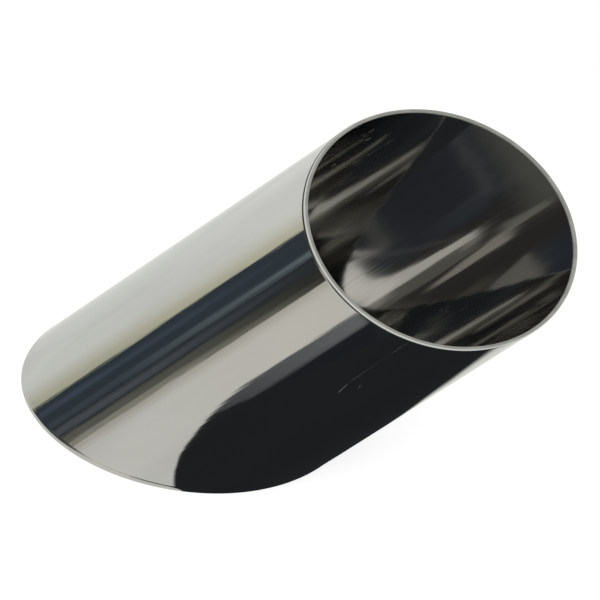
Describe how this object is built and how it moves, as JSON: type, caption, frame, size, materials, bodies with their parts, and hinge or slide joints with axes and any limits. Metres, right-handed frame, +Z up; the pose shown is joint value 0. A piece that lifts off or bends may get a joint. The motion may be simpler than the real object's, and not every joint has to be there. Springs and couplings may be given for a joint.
{
  "type": "exhaust tip",
  "caption": "Round mirror-polished stainless exhaust tip, a single-wall tube with a slanted cut at each end.",
  "frame": {"origin": "where the tube axis meets the plane of the foot rim, on the ground", "axes": "+Z up from the foot rim, +X the way the tube leans, +Y across the tube"},
  "size_m": [0.1584, 0.0762, 0.0883],
  "materials": {
    "polished_stainless": "mirror-polished stainless steel, unplated, with fine polishing lines"
  },
  "bodies": {
    "root": {"slash_cut_tube": "polished_stainless"}
  },
  "joints": []
}
